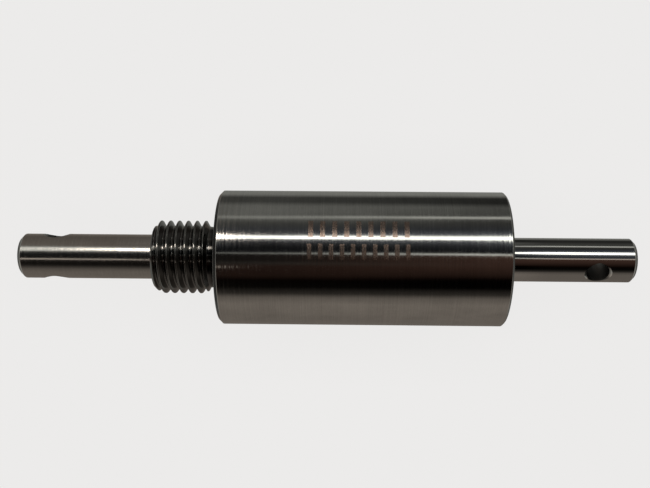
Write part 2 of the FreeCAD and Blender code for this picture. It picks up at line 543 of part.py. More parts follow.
# Each circuit follows the track for most of a turn and is led back over the screw's crest by a return piece.
swept = HELIX_BALL_STEP * (HELIX_BALLS - 1)
crossing = 360.0 - swept
lead = SIZES["ball_lead"]
return_pieces = []
nut_balls = []
for circuit in range(CIRCUITS):
    start_turn = CIRCUIT_STEP * circuit
    start_at = SIZES["circuit_from"] + lead * start_turn / 360.0
    middle_turn = start_turn + swept + crossing / 2
    middle_at = start_at + lead * swept / 360.0 / 2
    tilt = f"{middle_turn % 360.0:.4f}"
    radial_hole(ball_nut, f"return_seat_{circuit}", f"{middle_at:.4f}", tilt, "nut_bore - 4", "nut_dia - 6",
                "return_dia")

    post = doc.addObject("Part::Cylinder", f"return_post_{circuit}")
    post.setExpression("Radius", "Sizes.return_dia / 2")
    post.setExpression("Height", bound("return_top - return_base"))
    post.setExpression("Placement.Base.z", bound("return_base"))
    channel = doc.addObject("Part::Box", f"return_channel_{circuit}")
    channel.Length = 8.0
    channel.setExpression("Width", bound("return_channel"))
    channel.setExpression("Height", bound("return_roof"))
    slant = math.degrees(math.atan2(-lead * swept / 360.0, 3.7 * math.radians(crossing)))
    centre = FreeCAD.Placement(V(-4.0, -SIZES["return_channel"] / 2, 0), FreeCAD.Rotation())
    channel.Placement = FreeCAD.Placement(V(0, 0, 0), FreeCAD.Rotation(V(0, 0, 1), 90 + slant)).multiply(centre)
    piece = doc.addObject("Part::Cut", f"return_piece_{circuit}")
    piece.Base = post
    piece.Tool = channel
    piece.Placement = FreeCAD.Placement(
        V(middle_at, 0, 0), FreeCAD.Rotation(X_AXIS, middle_turn % 360.0 - 90.0))
    return_pieces.append(piece)

    stops = [(HELIX_BALL_STEP * i, lead * HELIX_BALL_STEP * i / 360.0, False) for i in range(HELIX_BALLS)]
    for i in range(1, CROSSING_BALLS + 1):
        share = i / (CROSSING_BALLS + 1)
        stops.append((swept + crossing * share, lead * swept / 360.0 * (1 - share), True))
    for i, (turned_by, along, lifted) in enumerate(stops):
        angle = math.radians(start_turn + turned_by)
        lift = " + Sizes.crossing_lift" if lifted else ""
        ball = doc.addObject("Part::Sphere", f"nut_ball_{circuit}_{i}")
        ball.setExpression("Radius", "Sizes.ball_dia / 2")
        ball.Placement.Base = V(start_at + along, 0, 0)
        ball.setExpression("Placement.Base.y", f"(Sizes.ball_circle_dia / 2{lift}) * {math.cos(angle):.6f}")
        ball.setExpression("Placement.Base.z", f"(Sizes.ball_circle_dia / 2{lift}) * {math.sin(angle):.6f}")
        nut_balls.append(ball)
cut_helix(ball_nut, "nut_track", None, "ball_lead", "nut_groove_len",
          circle=("0 - nut_groove_back", "ball_circle_dia", "ball_groove_dia"))
place(ball_nut, nut_at)
for label, links in (("nut_balls", nut_balls), ("ball_returns", return_pieces)):
    group = doc.addObject("Part::Compound", label)
    group.Label = label
    group.Links = links
    place(group, nut_at)

for side, station in (("front", nut_at), ("rear", nut_at + " + nut_len - nut_wiper_len")):
    wiper = turned(f"nut_wiper_{side}", [
        ("0", "nut_wiper_bore"), ("0", "nut_wiper_dia"), ("nut_wiper_len", "nut_wiper_dia"),
        ("nut_wiper_len", "nut_wiper_bore"),
    ])
    place(wiper, station)

guide_key = new_body("guide_key")
key_outline = new_sketch(guide_key, "guide_key_outline")
draw(key_outline, [
    ("0", "0 - 1.45"), ("key_len", "0 - 1.45"), ("key_len", "key_width - 1.45"), ("0", "key_width - 1.45"),
], halved=False)
key_pad = guide_key.newObject("PartDesign::Pad", "guide_key_block")
key_pad.Profile = key_outline
key_pad.setExpression("Length", bound("key_height"))
doc.recompute()
cut_round(guide_key, "key_screw_seat", [
    ("0", "0 - 0.5"), ("screw_shank_dia - 1", "0 - 0.5"), ("screw_shank_dia - 1", "key_height - 0.9"),
    ("screw_head_dia - 1.25", "key_height - 0.9"), ("screw_head_dia - 1.25", "key_height + 0.5"),
    ("0", "key_height + 0.5"),
], "V_Axis", at="key_len - 4", tilt="90")
place(guide_key, carrier_at + " + key_in", up="key_seat")

key_screw = turned("key_screw", [
    ("0", "0"), ("0", "screw_shank_dia"), ("key_screw_len - screw_head_len", "screw_shank_dia"),
    ("key_screw_len - screw_head_len", "screw_head_dia"), ("key_screw_len", "screw_head_dia"),
    ("key_screw_len", "0"),
])
cut_slot(key_screw, "key_screw_slot", [
    ("0 - 0.25", "0 - 2"), ("driver_slot - 0.25", "0 - 2"), ("driver_slot - 0.25", "2"), ("0 - 0.25", "2"),
], up="key_screw_len - driver_depth", role="YZ_Plane")
place(key_screw, carrier_at + " + key_in + key_len - 4", up="key_screw_base", turn=-90)

rod_pin = turned("rod_pin", [
    ("0", "0"), ("0", "pin_dia - 0.3"), ("0.15", "pin_dia"), ("pin_len - 0.15", "pin_dia"),
    ("pin_len", "pin_dia - 0.3"), ("pin_len", "0"),
])
place(rod_pin, carrier_at + " + pin_in", up="0 - pin_base", turn=90)

nut_lock_screw = turned("nut_lock_screw", [
    ("0", "0"), ("0", "screw_shank_dia - 0.6"), ("0.3", "screw_shank_dia"), ("lock_len", "screw_shank_dia"),
    ("lock_len", "0"),
])
cut_slot(nut_lock_screw, "lock_screw_slot", [
    ("0 - 0.25", "0 - 2"), ("driver_slot - 0.25", "0 - 2"), ("driver_slot - 0.25", "2"), ("0 - 0.25", "2"),
], up="lock_len - driver_depth", role="YZ_Plane")
nut_lock_screw.Placement = FreeCAD.Placement(V(0, 0, 0), FreeCAD.Rotation(V(0, 0, 1), -90))
nut_lock_screw.setExpression("Placement.Base.x", bound(carrier_at + " + lock_in"))
nut_lock_screw.setExpression("Placement.Base.y", bound("0 - lock_base"))
made["nut_lock_screw"] = nut_lock_screw

doc.recompute()

# ---------------------------------------------------------------- checks and files
for item in doc.Objects:
    if "Invalid" in item.State or "Error" in item.State:
        raise RuntimeError(f"{item.Name} is in state {item.State}")
for label, item in made.items():
    shape = item.Shape
    if shape.isNull() or not shape.isValid() or not shape.Solids:
        raise RuntimeError(label + " has no valid solid")
    if min(solid.Volume for solid in shape.Solids) <= 0:
        raise RuntimeError(label + " has a solid without volume")
    shape.exportStep(f"parts/{label}.step")
    box = shape.BoundBox
    print(f"{label:24s} solids {len(shape.Solids):2d} volume {shape.Volume:9.2f}"
          f" x {box.XMin:7.2f} {box.XMax:7.2f} y {box.YMin:6.2f} {box.YMax:6.2f} z {box.ZMin:6.2f} {box.ZMax:6.2f}")
print(len(made), "pieces")
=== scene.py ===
import json
import math

import bpy
import numpy as np
from mathutils import Matrix, Vector


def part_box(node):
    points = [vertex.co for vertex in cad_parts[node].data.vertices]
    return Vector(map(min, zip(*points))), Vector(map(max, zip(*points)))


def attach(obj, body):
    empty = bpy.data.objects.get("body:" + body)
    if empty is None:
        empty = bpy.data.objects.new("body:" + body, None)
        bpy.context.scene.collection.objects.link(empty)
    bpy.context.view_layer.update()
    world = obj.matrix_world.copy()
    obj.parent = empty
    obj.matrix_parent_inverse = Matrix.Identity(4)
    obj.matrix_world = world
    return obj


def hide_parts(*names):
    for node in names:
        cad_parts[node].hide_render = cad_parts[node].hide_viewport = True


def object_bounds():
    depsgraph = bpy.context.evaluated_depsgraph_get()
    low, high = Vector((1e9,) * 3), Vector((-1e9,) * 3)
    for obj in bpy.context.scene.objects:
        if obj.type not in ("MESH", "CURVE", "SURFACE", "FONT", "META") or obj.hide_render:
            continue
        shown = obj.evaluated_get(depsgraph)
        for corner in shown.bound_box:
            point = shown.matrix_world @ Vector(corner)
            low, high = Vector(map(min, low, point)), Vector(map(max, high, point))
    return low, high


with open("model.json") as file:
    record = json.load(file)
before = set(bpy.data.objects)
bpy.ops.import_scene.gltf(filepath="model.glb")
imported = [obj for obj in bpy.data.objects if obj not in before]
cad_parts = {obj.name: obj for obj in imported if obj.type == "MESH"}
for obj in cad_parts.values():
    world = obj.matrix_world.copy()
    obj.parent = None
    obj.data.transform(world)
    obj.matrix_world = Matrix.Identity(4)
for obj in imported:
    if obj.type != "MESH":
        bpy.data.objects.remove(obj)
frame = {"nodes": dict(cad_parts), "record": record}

CAD_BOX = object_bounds()
MM = 0.001
MICRON = 0.000001
TURN = 2 * math.pi

barrel_low, barrel_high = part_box("barrel")
NECK = barrel_low.x / MM
REAR = barrel_high.x / MM
RADIUS = barrel_high.y / MM

# ---------------------------------------------------------------- node helpers


class Nodes:
    """A short way to build a shader tree: add nodes, set their inputs, link them."""

    def __init__(self, tree):
        self.tree = tree
        tree.nodes.clear()

    def add(self, kind, inputs=None, **settings):
        node = self.tree.nodes.new(kind)
        for key, setting in settings.items():
            setattr(node, key, setting)
        for key, source in (inputs or {}).items():
            if isinstance(source, bpy.types.NodeSocket):
                self.tree.links.new(source, node.inputs[key])
            else:
                node.inputs[key].default_value = source
        return node

    def math(self, operation, first, second=0.0):
        return self.add("ShaderNodeMath", {0: first, 1: second}, operation=operation).outputs[0]

    def times(self, first, second):
        return self.math("MULTIPLY", first, second)

    def split(self, vector):
        return self.add("ShaderNodeSeparateXYZ", {0: vector}).outputs[:3]

    def scaled(self, vector, factor):
        return self.add("ShaderNodeVectorMath", {0: vector, 3: factor}, operation="SCALE").outputs[0]

    def ramp(self, factor, stops):
        node = self.add("ShaderNodeValToRGB", {0: factor})
        elements = node.color_ramp.elements
        while len(elements) < len(stops):
            elements.new(0.5)
        for element, (place, _) in zip(elements, stops):
            element.position = place
        for element, (_, color) in zip(elements, stops):
            element.color = (*color, 1.0)
        return node.outputs[0]

    def mix(self, factor, first, second):
        return self.add("ShaderNodeMix", {0: factor, 6: first, 7: second}, data_type="RGBA").outputs[2]

    def remap(self, source, low, high, to_low, to_high):
        node = self.add("ShaderNodeMapRange", {0: source, 1: low, 2: high, 3: to_low, 4: to_high})
        return node.outputs[0]


def linear(level):
    """Linear light of a display level from 0 to 255."""
    v = level / 255
    return v / 12.92 if v <= 0.04045 else ((v + 0.055) / 1.055) ** 2.4


# ---------------------------------------------------------------- materials
# Rows of plain bars: arc from the top line, low and high, then the first bar's x, the step and how many.
MARK_ROWS = ((4.4, 8.1, 19.9, 2.52, 9), (-0.4, 2.9, 19.7, 2.29, 10))
MARK_COLOR = (0.36, 0.20, 0.13, 1.0)
MARK_DULL = 0.22
# The barrel's darkened stretches, from x to x, are painted shade on its relief, front chamfer and rear
# edge. They're painted, as a guess: these places are dark in the photograph, from shadow or reflection
# perhaps.
# The front one comes in gradually, and spares the face at x 0.
FRONT_FADE = (-2.7, -1.2)
FRONT_TO = 0.72
FRONT_LIGHT = 0.07
FACE = 0.05
REAR_FROM, REAR_TO = REAR - 0.42, REAR - 0.03
REAR_LIGHT = 0.3


def position(n):
    """The surface point in millimetres, in the row frame."""
    return n.scaled(n.add("ShaderNodeTexCoord").outputs["Object"], 1 / MM)


def noise(n, where, stretch, detail=3.0, rough=0.55):
    """Noise at a given number of features per millimetre along each axis."""
    stretched = n.add("ShaderNodeVectorMath", {0: where, 1: stretch}, operation="MULTIPLY").outputs[0]
    return n.add("ShaderNodeTexNoise", {"Vector": stretched, "Scale": 1.0, "Detail": detail,
                                        "Roughness": rough}).outputs[0]


def swing(n, source, low, high):
    """Noise spread over a range: most of its values lie between 0.3 and 0.7."""
    return n.remap(source, 0.3, 0.7, low, high)


def bars(n, where):
    """Two rows of plain equal bars along the top of the barrel, 0 to 1."""
    along, across, up = n.split(where)
    arc = n.times(n.math("ARCTAN2", across, up), RADIUS)
    mark = None
    for low, high, first, step, count in MARK_ROWS:
        cell = n.math("FRACT", n.math("DIVIDE", n.math("SUBTRACT", along, first), step))
        row = n.times(n.remap(arc, low, low + 0.15, 0.0, 1.0), n.remap(arc, high, high + 0.15, 1.0, 0.0))
        last = first + step * count
        span = n.times(n.math("GREATER_THAN", along, first), n.math("LESS_THAN", along, last))
        bar = n.times(n.remap(cell, 0.0, 0.05, 0.0, 1.0), n.remap(cell, 0.42, 0.47, 1.0, 0.0))
        bar = n.times(n.times(bar, row), span)
        mark = bar if mark is None else n.math("ADD", mark, bar)
    patchy = noise(n, where, (5.0, 2.5, 2.5), detail=3.0)
    return n.times(mark, n.remap(patchy, 0.35, 0.6, 0.5, 0.75))


def painted_shade_on_edges(n, light, where):
    """Painted shade: darkens the barrel's relief, front chamfer and rear edge."""
    along = n.split(where)[0]
    front = n.times(n.math("LESS_THAN", along, FRONT_TO), n.remap(along, *FRONT_FADE, 0.0, 1.0))
    front = n.times(front, n.math("GREATER_THAN", n.math("ABSOLUTE", along), FACE))
    rear = n.times(n.math("GREATER_THAN", along, REAR_FROM), n.math("LESS_THAN", along, REAR_TO))
    light = n.times(light, n.remap(rear, 0.0, 1.0, 1.0, REAR_LIGHT))
    return n.times(light, n.remap(front, 0.0, 1.0, 1.0, FRONT_LIGHT))


def turned_metal(name, color, rough, line_per_mm=4.0, line_depth=0.4, wander=0.6, tint=0.05, inner_shade_and_dulling=None,
                 marks_and_painted_shade=False):
    """Turned or ground metal: fine rings round the axis, slow stains, and slight waviness.

    The inner-shade tuple is (radius, darkness, dulling): closer to the axis than that radius, as in a
    drilled hole or on the thread, the metal is rougher and darker; the darkening is painted shade. With the
    marks flag set, a part has the barrel's bars and painted shade on its relief, front chamfer and rear
    edge.
    """
    material = bpy.data.materials.new(name)
    material.use_nodes = True
    n = Nodes(material.node_tree)
    where = position(n)
    rings = noise(n, where, (line_per_mm, 0.02, 0.02), detail=4.0, rough=0.7)
    stains = noise(n, where, (0.12, 0.25, 0.25), detail=4.0)
    grain = noise(n, where, (line_per_mm * 2.2, 0.9, 0.9), detail=3.0)
    wave = noise(n, where, (line_per_mm * 0.5, 0.22, 0.22), detail=2.0)
    light = n.math("ADD", swing(n, rings, -tint, tint), swing(n, stains, -tint, tint))
    light = n.math("ADD", light, swing(n, grain, -tint / 2, tint / 2))
    light = n.math("ADD", light, 1.0)
    gloss = swing(n, rings, -rough * 0.25, rough * 0.25)
    gloss = n.math("ADD", gloss, swing(n, grain, rough * 0.8, rough * 1.2))
    if marks_and_painted_shade:
        # Painted shade on the barrel's relief, front chamfer and rear edge.
        light = painted_shade_on_edges(n, light, where)
        mark = bars(n, where)
        gloss = n.math("ADD", gloss, n.times(mark, MARK_DULL))
    if inner_shade_and_dulling:
        radius, dark, dull = inner_shade_and_dulling
        flat = n.add("ShaderNodeVectorMath", {0: where, 1: (0, 1, 1)}, operation="MULTIPLY").outputs[0]
        out = n.add("ShaderNodeVectorMath", {0: flat}, operation="LENGTH").outputs["Value"]
        # Painted shade: the metal is darker closer to the axis than the given radius, in holes and on the
        # thread.
        outside_painted_shade = n.remap(out, radius - 0.5, radius - 0.05, 0.0, 1.0)
        light = n.times(light, n.remap(outside_painted_shade, 0.0, 1.0, dark, 1.0))
        gloss = n.math("ADD", gloss, n.remap(outside_painted_shade, 0.0, 1.0, dull, 0.0))
    shade = n.scaled(color, light)
    if marks_and_painted_shade:
        shade = n.mix(mark, shade, MARK_COLOR)
    height = n.math("ADD", n.times(rings, line_depth), n.times(wave, wander * 6))
    bump = n.add("ShaderNodeBump", {"Height": height, "Strength": 1.0, "Distance": MICRON})
    surface = n.add("ShaderNodeBsdfPrincipled", {"Base Color": shade, "Metallic": 1.0, "Roughness": gloss,
                                                 "Normal": bump.outputs[0]})
    n.add("ShaderNodeOutputMaterial", {0: surface.outputs[0]})
    return material


def soft_part(name, color, rough, grain_per_mm=3.0, depth=4.0, tint=0.12):
    """Moulded plastic or rubber: fine grain, slow mottling and a matt surface."""
    material = bpy.data.materials.new(name)
    material.use_nodes = True
    n = Nodes(material.node_tree)
    where = position(n)
    grain = noise(n, where, (grain_per_mm, grain_per_mm, grain_per_mm), detail=5.0)
    mottle = noise(n, where, (0.4, 0.4, 0.4), detail=3.0)
    light = n.math("ADD", swing(n, mottle, 1 - tint, 1 + tint), swing(n, grain, -0.04, 0.04))
    gloss = swing(n, grain, rough - 0.06, rough + 0.06)
    bump = n.add("ShaderNodeBump", {"Height": grain, "Strength": 1.0, "Distance": MICRON * depth})
    surface = n.add("ShaderNodeBsdfPrincipled", {"Base Color": n.scaled(color, light), "Roughness": gloss,
                                                 "Normal": bump.outputs[0]})
    n.add("ShaderNodeOutputMaterial", {0: surface.outputs[0]})
    return material


FINISH = {
    "housing_steel": turned_metal("barrel_finish_painted_shade", (0.60, 0.59, 0.575), 0.10, wander=2.2, tint=0.09,
                                  inner_shade_and_dulling=(9.0, 0.36, 0.0), marks_and_painted_shade=True),
    "rod_steel": turned_metal("rod_finish_painted_shade", (0.59, 0.578, 0.563), 0.16, line_per_mm=2.0, wander=2.2,
                              tint=0.06, inner_shade_and_dulling=(5.0, 0.35, 0.3)),
    "shaft_steel": turned_metal("shaft_finish_painted_shade", (0.60, 0.59, 0.58), 0.08, line_per_mm=3.0, wander=0.3,
                                tint=0.02, inner_shade_and_dulling=(4.9, 0.3, 0.3)),
    "bearing_steel": turned_metal("race_finish", (0.62, 0.61, 0.60), 0.10, tint=0.02),
    "inner_steel": turned_metal("inner_finish", (0.50, 0.49, 0.48), 0.28),
    "spring_steel": turned_metal("spring_finish", (0.30, 0.29, 0.28), 0.32),
    "cage_brass": turned_metal("brass_finish", (0.72, 0.52, 0.24), 0.25),
    "bush_polymer": soft_part("bush_finish", (0.10, 0.095, 0.085), 0.45),
    "return_polymer": soft_part("return_finish", (0.75, 0.72, 0.62), 0.42),
    "wiper_polymer": soft_part("wiper_finish", (0.035, 0.035, 0.037), 0.50),
    "urethane": soft_part("bumper_finish", (0.55, 0.33, 0.08), 0.40),
    "seal_rubber": soft_part("seal_finish", (0.022, 0.022, 0.024), 0.55),
}

for name, node in frame["nodes"].items():
    slot = next(s["material_slot"] for s in frame["record"]["subparts"] if s["node"] == name)
    node.data.materials.clear()
    node.data.materials.append(FINISH[slot])

# ---------------------------------------------------------------- turned shapes


def rounded(points, radius, steps=4):
    """A profile of (x, r) corners, each softened by an arc, as rows of (x, r, normal x, normal r).

    The profile runs with the metal on its right: the normal is to the left of the direction of travel.
    """
    rows = []
    count = len(points)
    for i, (x, r) in enumerate(points):
        here = Vector((x, r))
        if i == 0 or i == count - 1:
            other = Vector(points[1] if i == 0 else points[-2])
            along = (other - here if i == 0 else here - other).normalized()
            rows.append((x, r, -along.y, along.x))
            continue
        before = Vector(points[i - 1]) - here
        after = Vector(points[i + 1]) - here
        wide = before.angle(after)
        reach = min(radius / math.tan(wide / 2), before.length * 0.45, after.length * 0.45)
        start = here + before.normalized() * reach
        end = here + after.normalized() * reach
        normal_in = Vector((before.y, -before.x)).normalized()
        normal_out = Vector((-after.y, after.x)).normalized()
        for k in range(steps + 1):
            t = k / steps
            spot = start * (1 - t) ** 2 + here * 2 * t * (1 - t) + end * t ** 2
            normal = normal_in.slerp(normal_out, t) if normal_in.angle(normal_out) < 3.1 else normal_in
            rows.append((spot.x, spot.y, normal.x, normal.y))
    return rows


def lathe(name, rows, around, shape=None, closed=True):
    """Turns rows about the X axis. shape(x, r, nx, nr, angle) may give a point a new radius and normal."""
    mesh = bpy.data.meshes.new(name)
    verts, normals, rings = [], [], []
    for x, r, nx, nr in rows:
        if r < 1e-6:
            rings.append([len(verts)] * around)
            verts.append((x * MM, 0, 0))
            normals.append((math.copysign(1, nx), 0, 0))
            continue
        ring = []
        for k in range(around):
            angle = TURN * k / around
            c, s = math.cos(angle), math.sin(angle)
            spot = (r, (nx, nr, 0.0)) if shape is None else shape(x, r, nx, nr, angle)
            radius, (ax, ar, at) = spot
            ring.append(len(verts))
            verts.append((x * MM, radius * c * MM, radius * s * MM))
            normals.append((ax, ar * c - at * s, ar * s + at * c))
        rings.append(ring)
    faces = []
    pairs = list(zip(rings, rings[1:]))
    if closed:
        pairs.append((rings[-1], rings[0]))
    for a, b in pairs:
        for k in range(around):
            m = (k + 1) % around
            face = [a[m], b[m], b[k], a[k]]
            face = [v for j, v in enumerate(face) if v != face[j - 1]]
            if len(face) > 2:
                faces.append(face)
    mesh.from_pydata(verts, [], faces)
    mesh.update()
    mesh.polygons.foreach_set("use_smooth", [True] * len(mesh.polygons))
    mesh.normals_split_custom_set_from_vertices([Vector(v).normalized() for v in normals])
    piece = bpy.data.objects.new(name, mesh)
    bpy.context.scene.collection.objects.link(piece)
    return piece


def dress(piece, body, node, material):
    """Puts a piece in its body, in place of its CAD node."""
    piece.data.materials.clear()
    piece.data.materials.append(material)
    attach(piece, body)
    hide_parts(node)


# ---------------------------------------------------------------- barrel and threaded neck
CREST = 8.2
ROOT = 6.92
PITCH = 2.0
CREST_AT = -11.5
RELIEF = 6.85
NECK_CHAMFER = 1.25
THREAD_END = -3.1
RAMP_END = -2.4
ROOT_FLAT = 0.111
ROOT_SOFT, CREST_SOFT = 0.08, 0.16
SHAPED_TO = -0.25
SHOULDER_EDGE, REAR_EDGE = 0.8, 0.45
BORE = 5.7
MOUTH, LIP = 6.0, 5.3
MOUTH_DEPTH, BORE_FROM = 1.9, 2.9
SEAT, SEAT_DEPTH = 12.0, 4.5
CAVITY, CAVITY_FROM = 11.0, 3.0
EDGE_SOFT = 0.12


def soft_min(a, b, width):
    """The lesser of two numbers, blended over a width."""
    h = min(1.0, max(0.0, 0.5 + 0.5 * (b - a) / width))
    return b + (a - b) * h - width * h * (1 - h)


def neck_radius(x, angle):
    """Radius of the threaded neck: V groove, flat crest, end chamfer and relief, with softened edges."""
    away = (x - CREST_AT - PITCH * angle / TURN + PITCH / 2) % PITCH - PITCH / 2
    groove = (PITCH / 2 - abs(away)) - ROOT_FLAT
    flank = ROOT + max(0.0, groove) * math.sqrt(3)
    flank = -soft_min(-flank, -ROOT, ROOT_SOFT) if groove > -0.1 else ROOT
    outline = min(CREST, CREST - NECK_CHAMFER + (x - NECK))
    if x > THREAD_END:
        drop = (x - THREAD_END) / (RAMP_END - THREAD_END)
        outline = max(RELIEF, CREST - (CREST - RELIEF) * drop)
    return soft_min(flank, outline, CREST_SOFT)


def neck_shape(x, r, nx, nr, angle):
    """Cuts the thread on the neck's outside and leaves the bore and the rest of the barrel alone."""
    if nr < 0.5 or not NECK + 0.2 < x < SHAPED_TO:
        return r, (nx, nr, 0.0)
    step = 0.02
    radius = neck_radius(x, angle)
    slope = (neck_radius(x + step, angle) - neck_radius(x - step, angle)) / (2 * step)
    turn = step / radius
    lean = (neck_radius(x, angle + turn) - neck_radius(x, angle - turn)) / (2 * step)
    size = math.sqrt(slope ** 2 + 1 + lean ** 2)
    return radius, (-slope / size, 1 / size, -lean / size)


front = rounded([
    (NECK, MOUTH), (NECK, CREST - NECK_CHAMFER), (NECK + 0.9, CREST - NECK_CHAMFER + 0.9),
], EDGE_SOFT)
neck_rows = [(x, CREST, 0.0, 1.0) for x in np.arange(NECK + 0.25, SHAPED_TO, 0.06)]
back = rounded([
    (SHAPED_TO, RELIEF), (0.0, RELIEF), (0.0, RADIUS - SHOULDER_EDGE), (SHOULDER_EDGE, RADIUS),
    (REAR - REAR_EDGE, RADIUS), (REAR, RADIUS - REAR_EDGE), (REAR, SEAT), (REAR - SEAT_DEPTH, SEAT),
    (REAR - SEAT_DEPTH, CAVITY), (CAVITY_FROM, CAVITY), (CAVITY_FROM, BORE), (NECK + BORE_FROM, BORE),
    (NECK + BORE_FROM, LIP), (NECK + MOUTH_DEPTH, LIP), (NECK + MOUTH_DEPTH, MOUTH), (NECK, MOUTH),
], EDGE_SOFT)
barrel = lathe("barrel_turned", front[:-1] + neck_rows + back[:-1], 256, shape=neck_shape)
dress(barrel, "housing", "barrel", FINISH["housing_steel"])

# ---------------------------------------------------------------- cross-drilled rod and shaft
HOLE, HOLE_MOUTH = 2.5, 3.0


def cutter(name, at, tilt, stock_r, hole_r, mouth_r, around=64):
    """A cross-drill with a countersink at each mouth, through the axis at x = at."""
    reach = stock_r + 1.5
    sink = stock_r - (mouth_r - hole_r)
    rows = [(-reach, 0, -1, 0), (-reach, mouth_r + 1.5, -1, 1), (-sink, hole_r, 0, 1), (sink, hole_r, 0, 1),
            (reach, mouth_r + 1.5, 1, 1), (reach, 0, 1, 0)]
    piece = lathe(name, rows, around, closed=False)
    turn = Matrix.Rotation(math.radians(tilt), 4, "X") @ Matrix.Rotation(math.radians(90), 4, "Z")
    piece.data.transform(Matrix.Translation((at * MM, 0, 0)) @ turn)
    return piece


def round_normals(piece, rows, drill):
    """Exact normals after drilling: each face takes those of the turned surface or the hole it lies on."""
    mesh = piece.data
    at, tilt, stock_r, hole_r, mouth_r = drill
    axis = Vector((0, math.cos(math.radians(tilt)), math.sin(math.radians(tilt))))
    line = np.array([(x, r) for x, r, _, _ in rows])
    lean = np.array([(nx, nr) for _, _, nx, nr in rows])
    a, b = line[:-1], line[1:]
    run = b - a
    size = np.maximum((run ** 2).sum(1), 1e-12)

    def turned(p):
        r = math.hypot(p.y, p.z)
        q = np.array((p.x, r))
        t = np.clip(((q - a) * run).sum(1) / size, 0, 1)
        k = int(np.argmin((((a + run * t[:, None]) - q) ** 2).sum(1)))
        nx, nr = lean[k] * (1 - t[k]) + lean[k + 1] * t[k]
        if r < 1e-6:
            return Vector((nx, 0, 0)).normalized()
        return Vector((nx, nr * p.y / r, nr * p.z / r)).normalized()

    def bored(p):
        away = Vector((p.x - at, p.y, p.z))
        away -= axis * away.dot(axis)
        return -away.normalized()

    def sunk(p):
        side = math.copysign(1, p.dot(axis))
        return (bored(p) + axis * side).normalized()

    normals = [Vector((0, 0, 1))] * len(mesh.loops)
    for face in mesh.polygons:
        middle = face.center / MM
        away = Vector((middle.x - at, middle.y, middle.z))
        away -= axis * away.dot(axis)
        choices = [turned]
        if away.length < mouth_r + 1.0:
            choices += [bored, sunk]
        best = max(choices, key=lambda f: f(middle).dot(face.normal))
        for loop in face.loop_indices:
            normals[loop] = best(mesh.vertices[mesh.loops[loop].vertex_index].co / MM)
    mesh.polygons.foreach_set("use_smooth", [True] * len(mesh.polygons))
    mesh.normals_split_custom_set(normals)


def drilled(name, rows, around, drill):
    """Turned rows with a cross-hole cut through them."""
    piece = lathe(name, rows, around, closed=False)
    tool = cutter(name + "_drill", *drill)
    cut = piece.modifiers.new("drill", "BOOLEAN")
    cut.operation = "DIFFERENCE"
    cut.solver = "EXACT"
    cut.object = tool
    bpy.context.view_layer.update()
    seen = piece.evaluated_get(bpy.context.evaluated_depsgraph_get())
    mesh = bpy.data.meshes.new_from_object(seen)
    piece.modifiers.clear()
    piece.data = mesh
    bpy.data.objects.remove(tool)
    round_normals(piece, rows, drill)
    return piece


rod_low, rod_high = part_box("output_rod")
ROD_TIP = rod_low.x / MM
ROD_END = rod_high.x / MM
ROD = rod_high.y / MM
ROD_EDGE = 0.9
GROOVE_FROM, GROOVE_TO, GROOVE_DEEP = 30.3, 30.9, 0.2
TANG, TANG_LONG = 4.5, 4.0
WELL, WELL_LONG, WELL_CONE_TO = 3.4, 26.6, 28.6
ROD_HOLE_IN, ROD_HOLE_TILT = 7.7, 5.0

rod_rows = rounded([
    (ROD_TIP, 0.0), (ROD_TIP, ROD - ROD_EDGE), (ROD_TIP + ROD_EDGE, ROD), (ROD_TIP + GROOVE_FROM, ROD),
    (ROD_TIP + GROOVE_FROM, ROD - GROOVE_DEEP), (ROD_TIP + GROOVE_TO, ROD - GROOVE_DEEP),
    (ROD_TIP + GROOVE_TO, ROD), (ROD_END - TANG_LONG, ROD), (ROD_END - TANG_LONG, TANG), (ROD_END, TANG),
    (ROD_END, WELL), (ROD_END - WELL_LONG, WELL), (ROD_END - WELL_CONE_TO, 0.0),
], 0.3)
rod = drilled("rod_ground", rod_rows, 192, (ROD_TIP + ROD_HOLE_IN, ROD_HOLE_TILT, ROD, HOLE, HOLE_MOUTH))
dress(rod, "rod", "output_rod", FINISH["rod_steel"])

screw_low, screw_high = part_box("ball_screw")
SCREW_FROM = screw_low.x / MM
SHAFT_TIP = screw_high.x / MM
JOURNAL, SHAFT = 5.0, 4.9
COLLAR, COLLAR_AT, COLLAR_LONG = 6.5, 44.0, 2.5
WAIST, WAIST_LONG = 2.3, 1.5
CIRCLIP, CIRCLIP_FROM, CIRCLIP_TO = 4.8, 58.7, 59.8
UNDERCUT, UNDERCUT_FROM, UNDERCUT_TO = 4.7, 62.3, 62.95
SHAFT_EDGE = 0.8
SHAFT_HOLE_IN, SHAFT_HOLE_TILT = 8.5, 128.0
SCREW, SCREW_END = 3.0, 2.4
TRACK_FROM = SCREW_FROM + 0.7
TRACK_TO = COLLAR_AT - 1.6
LEAD = 2.0
TRACK_CIRCLE = 3.1
TRACK_R = 0.7
WAIST_AT = COLLAR_AT - WAIST_LONG


def screw_shape(x, r, nx, nr, angle):
    """The ball track: a round groove that winds along the screw, with softened edges."""
    if not TRACK_FROM < x < TRACK_TO:
        return r, (nx, nr, 0.0)

    def radius(at, turned_by):
        away = (at - TRACK_FROM - LEAD * turned_by / TURN + LEAD / 2) % LEAD - LEAD / 2
        if abs(away) >= TRACK_R:
            return SCREW
        return soft_min(TRACK_CIRCLE - math.sqrt(TRACK_R ** 2 - away ** 2), SCREW, 0.05)

    step = 0.02
    here = radius(x, angle)
    slope = max(-4.0, min(4.0, (radius(x + step, angle) - radius(x - step, angle)) / (2 * step)))
    size = math.sqrt(slope ** 2 + 1)
    return here, (-slope / size, 1 / size, 0.0)


